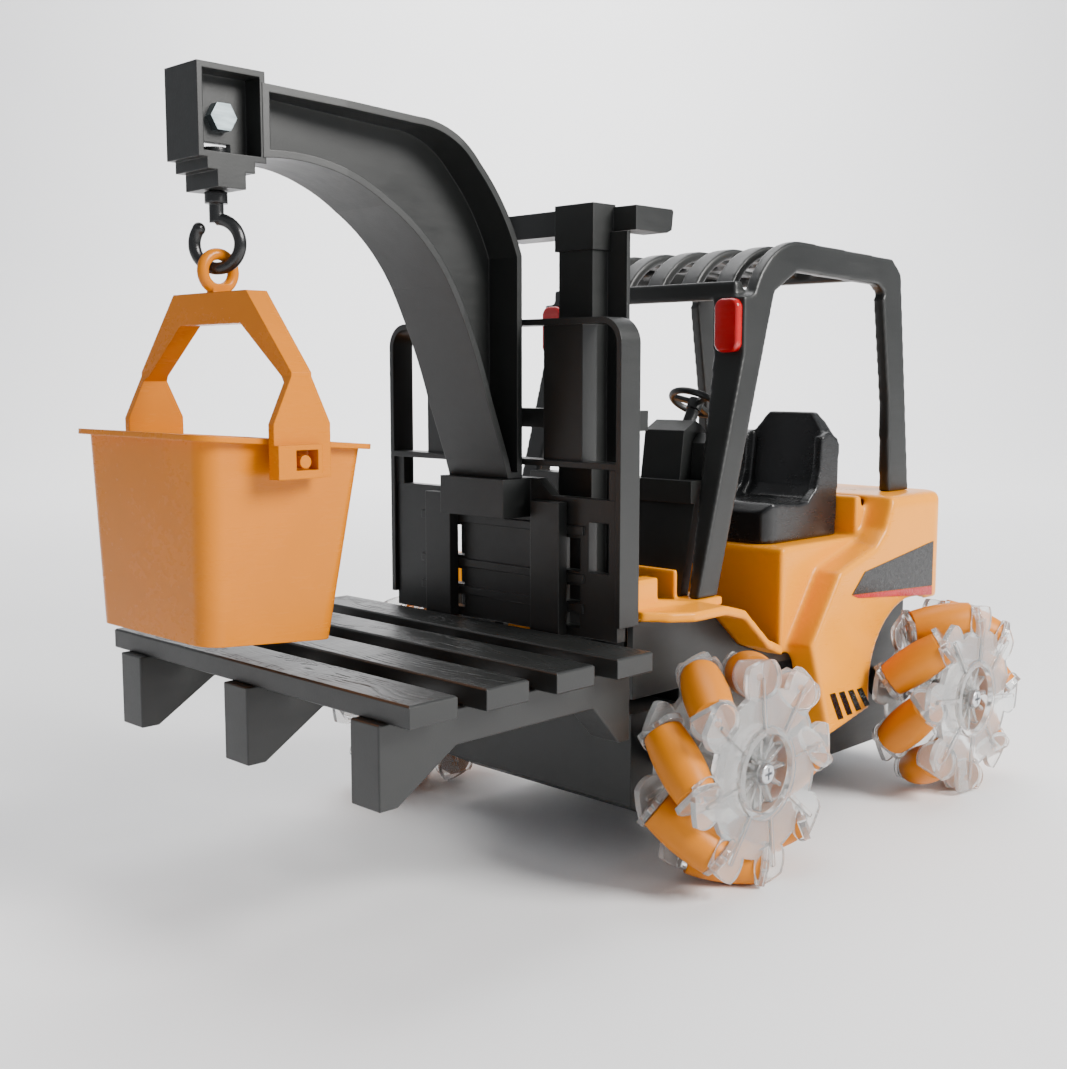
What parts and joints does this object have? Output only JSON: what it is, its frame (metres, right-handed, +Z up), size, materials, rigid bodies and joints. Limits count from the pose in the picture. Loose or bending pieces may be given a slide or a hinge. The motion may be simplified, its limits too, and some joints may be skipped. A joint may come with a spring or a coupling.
{
  "type": "toy forklift",
  "caption": "Radio-controlled toy forklift on mecanum wheels, with a lifting carriage, forks and pallet, and a curved crane jib whose hook carries a bucket.",
  "frame": {"origin": "middle of the whole machine's footprint, on the floor the wheels stand on", "axes": "+X points forward to the forks and the bucket, +Y to the driver's left, +Z up"},
  "size_m": [0.35, 0.1878, 0.2489],
  "materials": {
    "body_yellow": "glossy moulded amber-yellow",
    "bucket_orange": "glossy moulded orange",
    "roller_orange": "satin orange",
    "black_plastic": "satin moulded black",
    "black_gloss": "smooth black",
    "clear_plastic": "clear moulded plastic",
    "lamp_red": "translucent red",
    "label_black": "printed film",
    "label_red": "printed film",
    "steel": "plated screw steel",
    "bolt_steel": "plated hexagon screw",
    "gearbox_white": "natural nylon",
    "cell_green": "shrink wrap",
    "board_green": "soldered board"
  },
  "bodies": {
    "chassis": {"chassis_tray": "black_plastic", "chassis_screws": "steel", "battery_door": "black_plastic", "battery_pack": "cell_green", "circuit_board": "board_green", "switch_body": "black_plastic", "body_shell": "body_yellow", "hood_grille": "body_yellow", "side_labels": "label_black", "label_stripes": "label_red", "front_cowl": "body_yellow", "dashboard": "black_plastic", "lever_box": "black_plastic", "seat": "black_gloss", "overhead_guard": "black_plastic", "left_lamp": "lamp_red", "right_lamp": "lamp_red", "mast": "black_plastic", "mast_crosshead": "black_plastic", "front_left_gearmotor": "gearbox_white", "front_right_gearmotor": "gearbox_white", "rear_left_gearmotor": "gearbox_white", "rear_right_gearmotor": "gearbox_white"},
    "front_left_wheel": {"front_left_outer_disc": "clear_plastic", "front_left_inner_disc": "clear_plastic", "front_left_rollers": "roller_orange", "front_left_hub": "clear_plastic", "front_left_wheel_screw": "steel"},
    "front_right_wheel": {"front_right_outer_disc": "clear_plastic", "front_right_inner_disc": "clear_plastic", "front_right_rollers": "roller_orange", "front_right_hub": "clear_plastic", "front_right_wheel_screw": "steel"},
    "rear_left_wheel": {"rear_left_outer_disc": "clear_plastic", "rear_left_inner_disc": "clear_plastic", "rear_left_rollers": "roller_orange", "rear_left_hub": "clear_plastic", "rear_left_wheel_screw": "steel"},
    "rear_right_wheel": {"rear_right_outer_disc": "clear_plastic", "rear_right_inner_disc": "clear_plastic", "rear_right_rollers": "roller_orange", "rear_right_hub": "clear_plastic", "rear_right_wheel_screw": "steel"},
    "power_switch": {"power_switch": "black_plastic"},
    "steering_wheel": {"steering_wheel": "black_plastic"},
    "carriage": {"carriage": "black_plastic", "backrest": "black_plastic", "forks": "black_plastic", "jib_boom": "black_plastic", "boom_bolt": "bolt_steel"},
    "hook": {"hook": "black_gloss"},
    "bail": {"bail": "bucket_orange"},
    "bucket": {"bucket": "bucket_orange"},
    "pallet": {"pallet": "black_plastic"}
  },
  "joints": [
    {"name": "front_left_wheel_spin", "type": "hinge", "parent": "chassis", "child": "front_left_wheel", "pos_m": [0.005, 0.0785, 0.038], "axis": [0, 1, 0], "continuous": true},
    {"name": "front_right_wheel_spin", "type": "hinge", "parent": "chassis", "child": "front_right_wheel", "pos_m": [0.005, -0.0785, 0.038], "axis": [0, 1, 0], "continuous": true},
    {"name": "rear_left_wheel_spin", "type": "hinge", "parent": "chassis", "child": "rear_left_wheel", "pos_m": [-0.137, 0.0785, 0.038], "axis": [0, 1, 0], "continuous": true},
    {"name": "rear_right_wheel_spin", "type": "hinge", "parent": "chassis", "child": "rear_right_wheel", "pos_m": [-0.137, -0.0785, 0.038], "axis": [0, 1, 0], "continuous": true},
    {"name": "switch_slide", "type": "slide", "parent": "chassis", "child": "power_switch", "axis": [1, 0, 0], "range_m": [0, 0.003]},
    {"name": "steering_turn", "type": "hinge", "parent": "chassis", "child": "steering_wheel", "pos_m": [-0.042, 0.022, 0.152], "axis": [-0.5, 0, 0.866], "continuous": true},
    {"name": "carriage_lift", "type": "slide", "parent": "chassis", "child": "carriage", "axis": [0, 0, 1], "range_m": [-0.042, 0.06]},
    {"name": "hook_swivel", "type": "hinge", "parent": "carriage", "child": "hook", "pos_m": [0.146, 0, 0.2148], "axis": [0, 0, 1], "continuous": true},
    {"name": "bail_swing", "type": "hinge", "parent": "hook", "child": "bail", "pos_m": [0.146, 0, 0.195], "axis": [-0.5736, 0.8192, 0], "range_deg": [-10, 10]},
    {"name": "bucket_swing", "type": "hinge", "parent": "bail", "child": "bucket", "pos_m": [0.146, 0, 0.1424], "axis": [0, 1, 0], "range_deg": [-20, 20]},
    {"name": "pallet_slide", "type": "slide", "parent": "carriage", "child": "pallet", "axis": [1, 0, 0], "range_m": [0, 0.1]}
  ]
}
